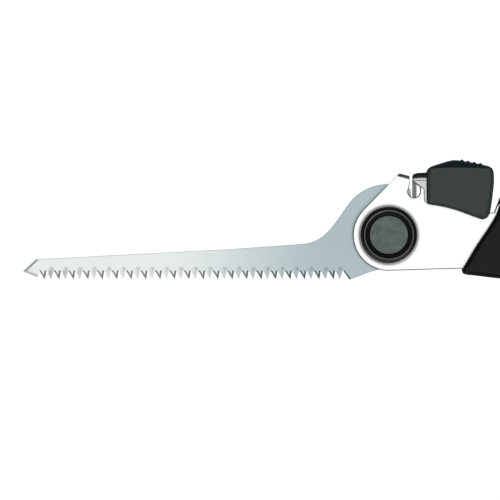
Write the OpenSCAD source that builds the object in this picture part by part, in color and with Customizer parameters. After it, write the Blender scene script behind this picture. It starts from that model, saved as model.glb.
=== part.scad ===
// Folding drywall saw: a toothed blade that swings out of a bent steel channel and is held open
// by a spring-loaded lever. It lies on its side. The origin is on the pivot axis at the rest
// plane, the blade runs along -X, the handle along +X, and +Z is up through the tool's thickness.

/* [Blade] */
// Thickness of the blade sheet
blade_t = 1.25; // [1:0.05:1.5]
// Distance from one tooth point to the next
tooth_pitch = 3.644; // [3.5:0.001:3.65]
// Number of teeth between the heel and the tip
tooth_count = 42; // [40:1:42]
// Height of a tooth, from its root to its point
tooth_h = 4.6; // [3:0.1:4.7]
// How far each tooth's long flank runs along the blade
tooth_rake = 2.85; // [2.6:0.05:3]
// Height of the line of tooth points below the pivot
tooth_line = 22.5; // [22.2:0.1:22.6]
// How far the points of the odd teeth lean further towards the tip
odd_lean = 0.46; // [0:0.02:0.6]

/* [Frame] */
// Thickness of the frame's sheet steel
sheet_t = 1.6; // [1.4:0.1:1.6]
// Gap between the frame's two cheeks
channel_gap = 4.6; // [4.5:0.05:4.7]
// Radius of the frame's nose about the pivot
nose_r = 18; // [17.8:0.1:18.2]

/* [Pivot] */
// Radius of the sleeve that the blade turns on
sleeve_r = 4; // [3.8:0.1:4.2]
// Outer radius of a pivot knob
knob_r = 14.7; // [14:0.1:15]
// Radius of a knob's crest
knob_crest_r = 12.2; // [12:0.1:12.4]
// Radius of the bolt heads at the bottom of the knobs
bolt_head_r = 9.7; // [9.5:0.1:9.8]

/* [Lever] */
// Sheet thickness of the lever
lever_t = 1.4; // [1.2:0.1:1.4]
// Thickness of the pawl at the lever's nose
pawl_t = 2.1; // [2:0.05:2.15]
// Radius of the lever's pin
lever_pin_r = 1.75; // [1.6:0.05:1.8]
// Half the width of the rubber cover
cover_half = 7.9; // [7.4:0.1:8.2]

/* [Handle] */
// Half the thickness of the whole tool, which sets how high its middle lies
half_t = 11; // [11:0.1:11.4]
// Half the thickness of the handle's two shells
shell_half = 10.2; // [10:0.1:10.2]
// Outer radius of the handle's barrel nuts
barrel_r = 2.9; // [2.7:0.1:3]
// Radius of the lanyard hole
lanyard_r = 3; // [2.5:0.1:3.2]

/* [Hidden] */
$fn = 48;

slack = 0.05;                                   // running clearance, on the radius
seat = 0.02;                                    // clearance of a fixed pin, on the radius
cheek_in = channel_gap / 2;                     // from the middle plane to a cheek's inner face
cheek_out = cheek_in + sheet_t;                 // and to its outer face
washer_gap = 0.15;                              // between the blade and each washer

// Lever
lever_pin = [30, 18.5];                         // where the lever turns
spring_pin = [38.5, 20.5];                      // where its spring is coiled
spring_pin_r = 1.2;
flange_in = cheek_out + 0.3;                    // the lever's flanges clear the cheeks
flange_out = flange_in + lever_t;
pawl_x = 12;                                    // the pawl's front face
pawl_tip_r = 22.6;                              // distance of the pawl's tip from the pivot
pawl_half = cheek_in - 0.2;

// Blade tang
rim_r = 25.65;                                  // in front of the lock notch
rear_rim_r = pawl_tip_r - 0.15;                 // behind it, just clear of the lifted pawl
notch_floor = 15.4;
heel = [-19.8, -22.45];                         // the point nearest the pivot
tooth_from_x = -20.36;                          // the teeth are counted from here to the tip
tip = [-184.5, -18.4];
tang_flat = -16.9;

// Knobs, as heights from the middle plane
head_top = 8.2;
head_floor = 6.2;

// Handle
screw_at = [[75, 12], [125, 1.5], [170, -8]];
head_seat = 7;                                  // where the screws' heads sit
head_h = 1.8;
pad_floor = shell_half - 0.8;
lanyard_at = [194.5, -19];
channel_end = 188;

// ---- Curves ----
function arc(r, from, to, steps = 16, c = [0, 0]) =
    [for (i = [0 : steps]) let (a = from + (to - from) * i / steps) c + r * [cos(a), sin(a)]];
function bezier(a, b, c, d, steps = 12) =
    [for (i = [0 : steps]) let (t = i / steps, u = 1 - t)
        u * u * u * a + 3 * u * u * t * b + 3 * u * t * t * c + t * t * t * d];
function on_circle(r, a) = r * [cos(a), sin(a)];
// A closed smooth curve through the points, steps to a span
function loop_point(p, i) = p[(i + len(p)) % len(p)];
function smooth_loop(p, steps = 6) =
    [for (i = [0 : len(p) - 1]) for (s = [0 : steps - 1])
        let (t = s / steps, a = loop_point(p, i - 1), b = p[i], c = loop_point(p, i + 1),
            d = loop_point(p, i + 2))
        (2 * b + (c - a) * t + (2 * a - 5 * b + 4 * c - d) * t * t
            + (3 * b - a - 3 * c + d) * t * t * t) / 2];
function below(path, drop) = [for (i = [len(path) - 1 : -1 : 0]) path[i] - [0, drop]];

// ---- Outlines in the tool's plane ----
notch_front = [11, sqrt(rim_r * rim_r - 11 * 11)];
notch_rear_x = pawl_x + pawl_t + 0.5;
notch_rear = [notch_rear_x, sqrt(rear_rim_r * rear_rim_r - notch_rear_x * notch_rear_x)];
rim_start = on_circle(rim_r, 128);
rear_rim_end = asin(tang_flat / rear_rim_r);

blade_outline = concat(
    [[-178, -12.3], [-80, -7.2]],
    bezier([-42.6, -4.5], [-28.6, -3.2], rim_start - 10 * [sin(128), -cos(128)], rim_start),
    arc(rim_r, 128, atan2(notch_front.y, notch_front.x)),
    [[notch_front.x + 0.7, notch_floor + 0.6], [notch_front.x + 1.2, notch_floor],
     [notch_rear_x, notch_floor]],
    arc(rear_rim_r, atan2(notch_rear.y, notch_rear.x), rear_rim_end, 32),
    bezier([2, tang_flat], [-9, -17], [-12, -20.3], heel, 8),
    [[heel.x - 3.16, tooth_h - tooth_line]],
    [for (i = [1 : tooth_count]) let (x = tooth_from_x - i * tooth_pitch)
        each [[x - odd_lean * (i % 2), -tooth_line], [x - tooth_rake, tooth_h - tooth_line]]],
    [[-177.1, -21.35], tip]);

// The bottom edge of the channel inside the handle, and its closed top edge
channel_bottom = [[36.8, -17.3], [112, -19.5], [150, -19], [176, -27], [channel_end, -30]];
channel_top = [[56.3, 19.4], [57.6, 21.2], [60, 22.3], [66, 21.5], [90, 16], [120, 8.5],
    [150, 3], [channel_end, -3.5]];
front_top = [[5.4, 31.1], [10.4, 29.8]];
cheek_outline = concat(
    arc(nose_r, 137, 270, 32), channel_bottom,
    [for (i = [len(channel_top) - 1 : -1 : 0]) channel_top[i]],
    [[53.8, 13.1], [53.2, 11.3], [49.5, 11.3], [48.5, 14], [44, 24], [36, 27], [15.9, 26.5],
     [15.9, 21.9]],
    arc(3.1, 0, -180, 16, [12.8, 21.9]),
    [[10.2, 24], [11, 27.6], [10.4, 29.8], [5.4, 31.1]]);

lever_top = [[12.1, 29.6], [12.6, 30.7], [14.6, 31.3], [18.9, 31.5], [20.7, 32.4], [26, 34.4],
    [32, 35.8], [38, 35.6], [46, 34], [50, 33], [51.4, 31]];
flange_outline = concat(lever_top,
    [[51.6, 26], [51, 19], [50.3, 14], [49.3, 10.5], [48, 9], [46, 9], [40.1, 11.3],
     [34.7, 13.4], [29.4, 14.8], [20.2, 15.7], [18.3, 16.4], [17.8, 17.6], [17.7, 23],
     [12.1, 27.2]]);

cover_outline = smooth_loop([[18.57, 31.84], [20.74, 34.82], [26.14, 36.68], [32.6, 38],
    [40, 37.2], [49.8, 35.47], [52.6, 33.4], [53.29, 26.74], [52.23, 16], [50.36, 9.23],
    [47.1, 7.5], [40.11, 10.09], [29.37, 13.57], [18.9, 15.3], [17.4, 17.2]], 5);
rib_pitch = 3.1;
rib_x = 37;

grip_outline = smooth_loop([[36.7, -16.6], [39, -19.9], [56.3, -21.6], [85, -25], [110, -23],
    [130, -21.3], [150, -22.8], [167, -28], [185, -36.5], [196, -42.6], [203.5, -37.5],
    [208, -25], [206.5, -11], [195, -1.2], [175, 3], [150, 7], [120, 12.5], [90, 20],
    [66, 26], [60, 25.6], [57.4, 20.5], [53.6, 9.4], [44.2, -5.1]], 4);

// ---- Helpers ----
// A flat shape spread evenly about the middle plane
module slab(points, half) {
    translate([0, 0, half_t - half]) linear_extrude(2 * half) polygon(points);
}
// A plate between two heights from the middle plane
module plate(points, low, high) {
    translate([0, 0, half_t + low]) linear_extrude(high - low) polygon(points);
}
// A round bar along the tool's thickness, between two heights from the middle plane
module bar(at, r, low, high) {
    translate([at.x, at.y, half_t + low]) cylinder(r = r, h = high - low);
}
// The children once as they are and once mirrored in the middle plane
module both_sides() {
    children();
    translate([0, 0, 2 * half_t]) mirror([0, 0, 1]) children();
}
// The children turned over to the lower side
module lower_side() {
    translate([0, 0, 2 * half_t]) mirror([0, 0, 1]) children();
}

// ---- Sub-parts ----
module blade() {
    color("lightsteelblue") difference() {
        slab(blade_outline, blade_t / 2);
        bar([0, 0], sleeve_r + slack, -half_t, half_t);
    }
}

// One bent sheet: two cheeks, joined by a short bend in front and a closed top in the handle
module frame() {
    color("gainsboro") difference() {
        union() {
            both_sides() plate(cheek_outline, cheek_in, cheek_out);
            slab(concat(channel_top, below(channel_top, sheet_t)), cheek_out);
            slab(concat(front_top, below(front_top, sheet_t)), cheek_out);
        }
        bar([0, 0], sleeve_r + slack, -half_t, half_t);
        bar(lever_pin, lever_pin_r + seat, -half_t, half_t);
        bar(spring_pin, spring_pin_r + seat, -half_t, half_t);
        for (at = screw_at) bar(at, barrel_r + slack, -half_t, half_t);
    }
}

// The bolt that the blade turns on: a dished head and a sleeve, tapped for the screw
module pivot_sleeve() {
    color("dimgray") difference() {
        union() {
            bar([0, 0], bolt_head_r - slack, head_floor, head_top);
            bar([0, 0], sleeve_r, -head_floor + 0.4, head_floor + 0.1);
        }
        bar([0, 0], 2.5, -half_t, head_floor);
    }
}

// The screw in the sleeve, with a slot for a coin
module pivot_screw() {
    color("dimgray") difference() {
        union() {
            bar([0, 0], bolt_head_r - slack, -head_top, -head_floor);
            bar([0, 0], 2.45, -head_floor - 0.1, head_floor - 1);
        }
        translate([-7, -0.9, half_t - head_top - 1]) cube([14, 1.8, 2]);
    }
}

// A domed ring: it stands on a cheek, rises to a crest and falls to the bolt's head
module pivot_knob() {
    translate([0, 0, half_t]) rotate_extrude() polygon(concat(
        [[sleeve_r + slack, cheek_out], [knob_r - 0.4, cheek_out], [knob_r, cheek_out + 0.5],
         [knob_r, cheek_out + 2.2]],
        bezier([knob_r, cheek_out + 2.6], [knob_r, half_t - 1.4], [knob_crest_r + 1.8, half_t],
            [knob_crest_r + 0.3, half_t], 6),
        [[knob_crest_r - 0.3, half_t], [bolt_head_r, head_top + 0.1], [bolt_head_r, head_floor],
         [sleeve_r + slack, head_floor]]));
}

module upper_pivot_knob() {
    color([0.06, 0.06, 0.07]) pivot_knob();
}

module lower_pivot_knob() {
    color([0.06, 0.06, 0.07]) lower_side() pivot_knob();
}

// A washer between the blade and a cheek
module pivot_washer() {
    difference() {
        bar([0, 0], 9.5, blade_t / 2 + washer_gap, cheek_in);
        bar([0, 0], sleeve_r + slack, 0, half_t);
    }
}

module upper_pivot_washer() {
    color("ivory") pivot_washer();
}

module lower_pivot_washer() {
    color("ivory") lower_side() pivot_washer();
}

// A bent steel lever: two flanges outside the cheeks, a web above them, and the pawl
module lock_lever() {
    pawl_rear = pawl_x + pawl_t;
    color("silver") difference() {
        union() {
            both_sides() plate(flange_outline, flange_in, flange_out);
            slab(concat(lever_top, below(lever_top, lever_t)), flange_out);
            slab([[pawl_x, 30], [pawl_rear, 30.4],
                [pawl_rear, sqrt(pawl_tip_r * pawl_tip_r - pawl_rear * pawl_rear)],
                [pawl_x, sqrt(pawl_tip_r * pawl_tip_r - pawl_x * pawl_x)]], pawl_half);
        }
        bar(lever_pin, lever_pin_r + slack, -half_t, half_t);
    }
}

// The rubber cover, open below and in front, with ribs for the thumb
module lever_cover() {
    inside = concat([for (p = lever_top) p + [0, slack]],
        [[51.7, 31], [51.7, 16], [60, 16], [60, 0], [8, 0], [8, 29.6]]);
    color([0.2, 0.23, 0.24]) difference() {
        union() {
            slab(cover_outline, cover_half);
            for (i = [0 : 3]) let (x = rib_x + i * rib_pitch)
                bar([x, 37.1 - 0.19 * (x - rib_x)], 1, -cover_half + 1, cover_half - 1);
        }
        slab(inside, flange_out + slack);
        bar(lever_pin, lever_pin_r + 1.2, -flange_out - 0.6, flange_out + 0.6);
    }
}

// The pin that the lever turns on, with a rivet head at each end
module lever_pin() {
    color("gray") {
        bar(lever_pin, lever_pin_r, -flange_out - 0.1, flange_out + 0.1);
        both_sides() bar(lever_pin, lever_pin_r + 0.9, flange_out + 0.1, flange_out + 0.5);
    }
}

// A round bar between two points of the middle plane
module leg(from, to, r) {
    along = to - from;
    translate([from.x, from.y, half_t]) rotate([0, 0, atan2(along.y, along.x)])
        rotate([0, 90, 0]) cylinder(r = r, h = norm(along));
}

// A torsion spring: one leg lifts the back of the lever, the other bears on the lever's pin
module lever_spring() {
    wire_r = 0.45;
    coil_r = 2.2;
    color("slategray") {
        translate([spring_pin.x, spring_pin.y, half_t]) rotate_extrude()
            for (i = [-2 : 2]) translate([coil_r, i * 0.85]) circle(r = wire_r, $fn = 16);
        leg(spring_pin + [coil_r, 0], [46.4, 31.6], wire_r);
        leg(spring_pin + [0, coil_r], [29.6, 20.8], wire_r);
    }
}

// The pin that the spring is coiled on
module spring_arbor() {
    color("gray") bar(spring_pin, spring_pin_r, -cheek_out, cheek_out);
}

// The soft panel's outline, as a flat shape
module pad_shape(grow = 0) {
    offset(r = 4 + grow) offset(delta = -8.5) intersection() {
        polygon(grip_outline);
        translate([62, -60]) square([125, 100]);
    }
}

// One half of the handle: a solid shell with a trough for the channel
module grip_shell() {
    difference() {
        translate([0, 0, half_t]) {
            linear_extrude(shell_half - 3) polygon(grip_outline);
            linear_extrude(shell_half - 1.2) offset(r = -0.9) polygon(grip_outline);
            linear_extrude(shell_half) offset(r = -2.8) polygon(grip_outline);
        }
        plate(concat([for (p = channel_top) p + [0, slack]],
            [[channel_end + slack, -3.5], [channel_end + slack, -60], [20, -60], [20, 11.3],
             [53.2, 11.3]]), -1, cheek_out + slack);
        translate([0, 0, half_t + pad_floor]) linear_extrude(3) pad_shape();
        for (at = screw_at) {
            bar(at, barrel_r + slack, -1, half_t);
            bar(at, 4.4, head_seat, half_t);
        }
        bar(lanyard_at, lanyard_r + 1.2 + slack, -1, half_t);
    }
}

module upper_grip_shell() {
    color([0.1, 0.11, 0.12]) grip_shell();
}

module lower_grip_shell() {
    color([0.1, 0.11, 0.12]) lower_side() grip_shell();
}

// A soft panel let into the outside of a shell, with holes over the screws
module grip_pad() {
    difference() {
        union() {
            translate([0, 0, half_t + pad_floor]) linear_extrude(1.2) pad_shape();
            translate([0, 0, half_t + pad_floor]) linear_extrude(half_t - pad_floor) pad_shape(-1);
        }
        for (at = screw_at) bar(at, 5.4, 0, half_t + 1);
    }
}

module upper_grip_pad() {
    color([0.16, 0.17, 0.18]) grip_pad();
}

module lower_grip_pad() {
    color([0.16, 0.17, 0.18]) lower_side() grip_pad();
}

// The screws that clamp the two shells on the channel, with hexagon sockets
module grip_screws() {
    color("darkgray") for (at = screw_at) difference() {
        union() {
            bar(at, 4.2, head_seat, head_seat + head_h);
            bar(at, 1.5, -4, head_seat + 0.1);
        }
        translate([at.x, at.y, half_t + head_seat + 0.6]) cylinder(r = 1.7, h = 3, $fn = 6);
    }
}

// The barrel nuts that the screws run into, from the lower side
module grip_barrel_nuts() {
    color("darkgray") for (at = screw_at) difference() {
        union() {
            bar(at, 4.2, -head_seat - head_h, -head_seat);
            bar(at, barrel_r, -head_seat - 0.1, head_seat - 0.1);
        }
        bar(at, 1.55, -head_seat + 0.6, half_t);
        translate([at.x - 3, at.y - 0.5, half_t - head_seat - head_h - 1]) cube([6, 1, 1.8]);
    }
}

// A rubber block at the back of the channel, which the folded blade's tip comes to rest under
module tip_rest() {
    color([0.12, 0.12, 0.12]) slab([[175, -20.6], [187, -20.6], [187, -13], [175, -13]],
        cheek_in - slack);
}

// A block that keeps the cheeks apart at the back end
module tail_spacer() {
    color("darkgray") slab([[177, -13], [187, -13], [187, -5.2], [177, -5.2]], cheek_in - slack);
}

// A metal tube through the handle's end, flared on both sides, for a lanyard
module lanyard_eyelet() {
    color("silver") difference() {
        union() {
            bar(lanyard_at, lanyard_r + 1.2, -shell_half, shell_half);
            both_sides() bar(lanyard_at, lanyard_r + 3, shell_half, shell_half + 0.5);
        }
        bar(lanyard_at, lanyard_r, -half_t, half_t);
    }
}

blade();
frame();
pivot_sleeve();
pivot_screw();
upper_pivot_knob();
lower_pivot_knob();
upper_pivot_washer();
lower_pivot_washer();
lock_lever();
lever_cover();
lever_pin();
lever_spring();
spring_arbor();
upper_grip_shell();
lower_grip_shell();
upper_grip_pad();
lower_grip_pad();
grip_screws();
grip_barrel_nuts();
tip_rest();
tail_spacer();
lanyard_eyelet();
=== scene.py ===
"""The looks of a folding drywall saw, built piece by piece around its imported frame.

Lengths are millimetres, as in the saw's drawing, and become metres where a point is placed.
The saw lies on its side: the blade runs along -X, the lever is on the +Y side and +Z is up.
"""

from __future__ import annotations

import logging
import math
from dataclasses import dataclass, field
from enum import Enum
from typing import Any, Callable, Iterable, Sequence

import bpy
from mathutils import Matrix, Vector

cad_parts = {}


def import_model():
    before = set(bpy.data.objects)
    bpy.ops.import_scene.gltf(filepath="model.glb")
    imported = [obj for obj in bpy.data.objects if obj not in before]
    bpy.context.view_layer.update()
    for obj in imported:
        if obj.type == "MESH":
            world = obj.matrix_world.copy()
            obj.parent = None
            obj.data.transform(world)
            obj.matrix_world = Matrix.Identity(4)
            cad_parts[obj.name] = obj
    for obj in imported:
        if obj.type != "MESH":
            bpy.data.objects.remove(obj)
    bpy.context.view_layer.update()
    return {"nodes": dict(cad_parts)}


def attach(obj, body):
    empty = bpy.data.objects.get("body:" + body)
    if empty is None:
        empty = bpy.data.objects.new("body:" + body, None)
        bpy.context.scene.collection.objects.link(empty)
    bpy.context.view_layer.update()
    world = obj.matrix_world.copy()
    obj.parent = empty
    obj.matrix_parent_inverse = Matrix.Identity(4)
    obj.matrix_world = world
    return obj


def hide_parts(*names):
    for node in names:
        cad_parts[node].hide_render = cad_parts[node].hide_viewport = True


log = logging.getLogger("drywall_saw")

MM = 0.001
MERGE = 0.002 * MM  # points that are closer than this become one
HAIR = 0.01  # lengths that differ by less than this are the same
STRAIGHT = 1000.0  # the radius that a straight stretch of an outline counts as
LEVEL = "level"  # the attribute that tells how level a surface lies
Piece = bpy.types.Object
Point = tuple[float, float]
Outline = tuple[Point, ...]
Place = tuple[float, float, float]
Colour = tuple[float, float, float]


class Body(Enum):
    """The rigid bodies that a piece can ride on."""

    HANDLE = "handle"
    BLADE = "saw_blade"
    LEVER = "lever"


class Combining(Enum):
    """What is done to a piece with another one."""

    CUT = "DIFFERENCE"
    WELD = "UNION"


# ---------------------------------------------------------------- outlines


def arc(radius: float, start: float, end: float, steps: int,
        centre: Point = (0.0, 0.0)) -> list[Point]:
    """Points along an arc, both ends included.

    Args:
        radius: The arc's radius.
        start: Its first angle, in degrees.
        end: Its last angle, in degrees.
        steps: How many pieces it is cut into.
        centre: Its centre.

    Returns:
        The points, in order.
    """
    angles = [math.radians(start + (end - start) * i / steps) for i in range(steps + 1)]
    return [(centre[0] + radius * math.cos(a), centre[1] + radius * math.sin(a)) for a in angles]


def bezier(a: Point, b: Point, c: Point, d: Point, steps: int) -> list[Point]:
    """Points along a cubic curve from a to d, pulled towards b and c.

    Args:
        a: Where it starts.
        b: The handle of its start.
        c: The handle of its end.
        d: Where it ends.
        steps: How many pieces it is cut into.

    Returns:
        The points, in order, both ends included.
    """
    points = []
    for i in range(steps + 1):
        t, u = i / steps, 1 - i / steps
        weights = (u**3, 3 * u * u * t, 3 * u * t * t, t**3)
        points.append(tuple(sum(w * p[k] for w, p in zip(weights, (a, b, c, d))) for k in (0, 1)))
    return points


def smooth_loop(points: Sequence[Point], steps: int) -> list[Point]:
    """A closed smooth curve through the points.

    Args:
        points: The points that it passes.
        steps: How many pieces each span is cut into.

    Returns:
        The curve's points, in order.
    """
    count = len(points)
    curve = []
    for i in range(count):
        a, b, c, d = (points[(i + k) % count] for k in (-1, 0, 1, 2))
        for s in range(steps):
            t = s / steps
            curve.append(tuple(
                (2 * b[k] + (c[k] - a[k]) * t + (2 * a[k] - 5 * b[k] + 4 * c[k] - d[k]) * t * t
                 + (3 * b[k] - a[k] - 3 * c[k] + d[k]) * t**3) / 2
                for k in (0, 1)
            ))
    return curve


def outward(before: Point, here: Point, after: Point) -> Point:
    """The mitred outward normal at a corner of an outline that runs anticlockwise.

    Args:
        before: The corner before it.
        here: The corner.
        after: The corner after it.

    Returns:
        A vector that moves both edges out by 1.
    """
    first = Vector((here[1] - before[1], before[0] - here[0])).normalized()
    last = Vector((after[1] - here[1], here[0] - after[0])).normalized()
    middle = (first + last).normalized()
    middle /= max(middle.dot(first), 0.5)
    return (middle.x, middle.y)


def inset(outline: Sequence[Point], distance: float) -> list[Point]:
    """The outline moved inwards, and ever less so in corners that are tighter than the distance.

    Args:
        outline: A closed outline that runs anticlockwise.
        distance: How far its edges move in.

    Returns:
        As many points as before.
    """
    count = len(outline)
    slightest_turn, share, beside, fine_from = 0.02, 0.8, 3, 40
    radii = []
    for i, here in enumerate(outline):
        before = Vector(here) - Vector(outline[i - 1])
        after = Vector(outline[(i + 1) % count]) - Vector(here)
        turn = math.atan2(before.cross(after), before.dot(after))
        length = (before.length + after.length) / 2
        radii.append(length / turn if turn > slightest_turn else STRAIGHT)
    moved = []
    for i, here in enumerate(outline):
        room = STRAIGHT
        if count > fine_from:
            room = min(radii[(i + k) % count] for k in range(-beside, beside + 1))
        reach = distance / math.hypot(1.0, distance / (share * room))
        nx, ny = outward(outline[i - 1], here, outline[(i + 1) % count])
        moved.append((here[0] - nx * reach, here[1] - ny * reach))
    return moved


# ---------------------------------------------------------------- modelling


class Bench:
    """Modelling steps, each done with operators on one piece at a time."""

    mid: float = 11.0

    @staticmethod
    def take(piece: Piece) -> None:
        """Selects one piece alone and makes it the active one.

        Args:
            piece: The piece.
        """
        bpy.ops.object.select_all(action="DESELECT")
        piece.select_set(True)
        bpy.context.view_layer.objects.active = piece

    @staticmethod
    def merge() -> None:
        """In edit mode, merges points that lie on each other."""
        bpy.ops.mesh.remove_doubles(threshold=MERGE)

    @staticmethod
    def cap() -> None:
        """In edit mode, puts a face over each open end."""
        bpy.ops.mesh.fill_holes(sides=0)

    @staticmethod
    def face_out() -> None:
        """In edit mode, turns all faces outwards."""
        bpy.ops.mesh.normals_make_consistent(inside=False)

    @staticmethod
    def edit(piece: Piece, *steps: Callable[[], Any]) -> None:
        """Runs steps in edit mode, each on the whole piece, and last turns all faces outwards.

        Args:
            piece: The piece to edit.
            *steps: What to do there.
        """
        Bench.take(piece)
        bpy.ops.object.mode_set(mode="EDIT")
        for step in (*steps, Bench.face_out):
            bpy.ops.mesh.select_all(action="SELECT")
            step()
        bpy.ops.object.mode_set(mode="OBJECT")

    @staticmethod
    def new_piece(name: str, places: Iterable[Place] = ()) -> Piece:
        """Names the primitive that was just added and moves its points to their places.

        Args:
            name: The piece's name.
            places: A place for each of its points, or none to leave it as it was added.

        Returns:
            The piece, with its place in its mesh.
        """
        piece = bpy.context.object
        piece.name = piece.data.name = name
        bpy.ops.object.transform_apply(location=True, rotation=True, scale=True)
        for vertex, place in zip(piece.data.vertices, places):
            vertex.co = Vector(place) * MM
        return piece

    @staticmethod
    def sheet(name: str, rows: Sequence[Sequence[Place]]) -> Piece:
        """A grid whose points are moved to the rows' places.

        Args:
            name: The piece's name.
            rows: Rows of places, all of one length.

        Returns:
            The new piece, an open surface.
        """
        bpy.ops.object.select_all(action="DESELECT")
        bpy.ops.mesh.primitive_grid_add(
            x_subdivisions=len(rows[0]) - 1, y_subdivisions=len(rows) - 1, size=MM
        )
        return Bench.new_piece(name, (place for row in rows for place in row))

    @staticmethod
    def loft(name: str, rings: Sequence[Sequence[Place]]) -> Piece:
        """A solid through closed rings, with a flat face over each end.

        Args:
            name: The piece's name.
            rings: Rings of places, all of one length.

        Returns:
            The new piece, closed.
        """
        piece = Bench.sheet(name, [list(ring) + [ring[0]] for ring in rings])
        Bench.edit(piece, Bench.merge, Bench.cap)
        return piece

    @staticmethod
    def plate(name: str, outline: Sequence[Point], low: float, high: float) -> Piece:
        """A flat plate between two heights from the saw's middle plane.

        Args:
            name: The piece's name.
            outline: Its outline.
            low: Its lower face's height.
            high: Its upper face's height.

        Returns:
            The new piece, closed.
        """
        bpy.ops.object.select_all(action="DESELECT")
        bpy.ops.mesh.primitive_circle_add(vertices=len(outline), radius=MM, fill_type="NGON")
        piece = Bench.new_piece(name, ((x, y, Bench.mid + low) for x, y in outline))
        rise = {"value": (0, 0, (high - low) * MM)}
        Bench.edit(piece, lambda: bpy.ops.mesh.extrude_region_move(TRANSFORM_OT_translate=rise))
        return piece

    @staticmethod
    def slab(name: str, outline: Sequence[Point], low: float, high: float, lower: float,
             upper: float, steps: int) -> Piece:
        """A plate whose long edges are rounded ring by ring.

        Args:
            name: The piece's name.
            outline: Its outline, anticlockwise.
            low: Its lower face's height.
            high: Its upper face's height.
            lower: The radius of its lower edge.
            upper: The radius of its upper edge.
            steps: How many facets each rounding has.

        Returns:
            The new piece, closed.
        """
        turns = [math.pi / 2 * i / steps for i in range(steps + 1)]
        levels = [(low + lower * (1 - math.sin(t)), lower * (1 - math.cos(t))) for t in turns[::-1]]
        levels += [(high - upper * (1 - math.sin(t)), upper * (1 - math.cos(t))) for t in turns]
        rings = []
        for z, distance in levels:
            edge = inset(outline, distance) if distance else outline
            rings.append([(x, y, Bench.mid + z) for x, y in edge])
        return Bench.loft(name, rings)

    @staticmethod
    def round_edges(piece: Piece, chosen: Callable[[bpy.types.MeshEdge], bool],
                    radius: float, steps: int) -> None:
        """Rounds some of a piece's edges.

        Args:
            piece: The piece to change.
            chosen: Tells whether an edge is one of them.
            radius: The radius of the rounding.
            steps: How many facets it has.
        """
        Bench.take(piece)
        bpy.ops.object.mode_set(mode="EDIT")
        bpy.ops.mesh.select_mode(type="EDGE")
        bpy.ops.mesh.select_all(action="DESELECT")
        bpy.ops.object.mode_set(mode="OBJECT")
        for edge in piece.data.edges:
            edge.select = chosen(edge)
        bpy.ops.object.mode_set(mode="EDIT")
        bpy.ops.mesh.bevel(offset=radius * MM, segments=steps, clamp_overlap=False)
        bpy.ops.mesh.select_mode(type="VERT")
        bpy.ops.object.mode_set(mode="OBJECT")

    @staticmethod
    def round_corners(piece: Piece, corners: Sequence[Point], half: float,
                      radius: float, steps: int) -> None:
        """Rounds the edges that run between some corners of the two outer faces.

        Args:
            piece: The piece to change.
            corners: Where the edges' ends are, seen from above.
            half: How far the outer faces are from the middle plane.
            radius: The radius of the rounding.
            steps: How many facets it has.
        """
        near = 0.05
        places = [vertex.co / MM for vertex in piece.data.vertices]

        def on_corner(p: Vector) -> bool:
            """Whether a point is at one of the corners, on an outer face."""
            outer = abs(abs(p.z - Bench.mid) - half) < HAIR
            return outer and any(abs(p.x - x) < near and abs(p.y - y) < near for x, y in corners)

        def chosen(edge: bpy.types.MeshEdge) -> bool:
            """Whether both of an edge's ends are corners of one face."""
            first, last = (places[i] for i in edge.vertices)
            return on_corner(first) and on_corner(last) and abs(first.z - last.z) < HAIR

        Bench.round_edges(piece, chosen, radius, steps)

    @staticmethod
    def break_rim(piece: Piece, radius: float) -> None:
        """Breaks the edges between a piece's flat faces and its upright walls.

        Args:
            piece: The piece to change.
            radius: The radius of the broken edge.
        """
        flat, upright = 0.999, 0.001
        sides: dict[tuple[int, int], list[float]] = {}
        for face in piece.data.polygons:
            for key in face.edge_keys:
                sides.setdefault(key, []).append(abs(face.normal.z))
        painted_rim_shade = {key for key, tilt in sides.items() if max(tilt) > flat and min(tilt) < upright}
        Bench.round_edges(piece, lambda edge: edge.key in painted_rim_shade, radius, 3)
        Bench.edit(piece, Bench.merge)

    @staticmethod
    def turned(name: str, profile: Sequence[Point], centre: Point = (0.0, 0.0),
               steps: int = 96) -> Piece:
        """A piece turned on a lathe about an upright axis.

        Args:
            name: The piece's name.
            profile: Its closed profile: distances from the axis, heights from the middle plane.
            centre: Where the axis stands.
            steps: How many facets it has round the axis.

        Returns:
            The new piece, closed.
        """
        bpy.ops.object.select_all(action="DESELECT")
        bpy.ops.mesh.primitive_circle_add(vertices=len(profile), radius=MM, fill_type="NOTHING")
        piece = Bench.new_piece(
            name, ((centre[0] + radius, centre[1], Bench.mid + z) for radius, z in profile)
        )
        axis = {"center": Vector((*centre, 0)) * MM, "axis": (0, 0, 1), "angle": math.tau}
        Bench.edit(
            piece,
            lambda: bpy.ops.mesh.spin(steps=steps, **axis),
            Bench.merge,
            bpy.ops.mesh.delete_loose,
        )
        return piece

    @staticmethod
    def modify(piece: Piece, kind: str, **settings: Any) -> None:
        """Adds a modifier and applies it.

        Args:
            piece: The piece to change.
            kind: The modifier's type.
            **settings: The modifier's settings.
        """
        Bench.take(piece)
        bpy.ops.object.modifier_add(type=kind)
        modifier = piece.modifiers[-1]
        for key, value in settings.items():
            setattr(modifier, key, value)
        bpy.ops.object.modifier_apply(modifier=modifier.name)

    @staticmethod
    def combine(piece: Piece, how: Combining, *others: Piece) -> None:
        """Cuts other pieces out of a piece or welds them to it, and throws them away.

        Args:
            piece: The piece to change.
            how: Whether they are cut out or welded on.
            *others: The other pieces.
        """
        for other in others:
            Bench.modify(piece, "BOOLEAN", operation=how.value, solver="EXACT", object=other)
            bpy.data.objects.remove(other)

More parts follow.
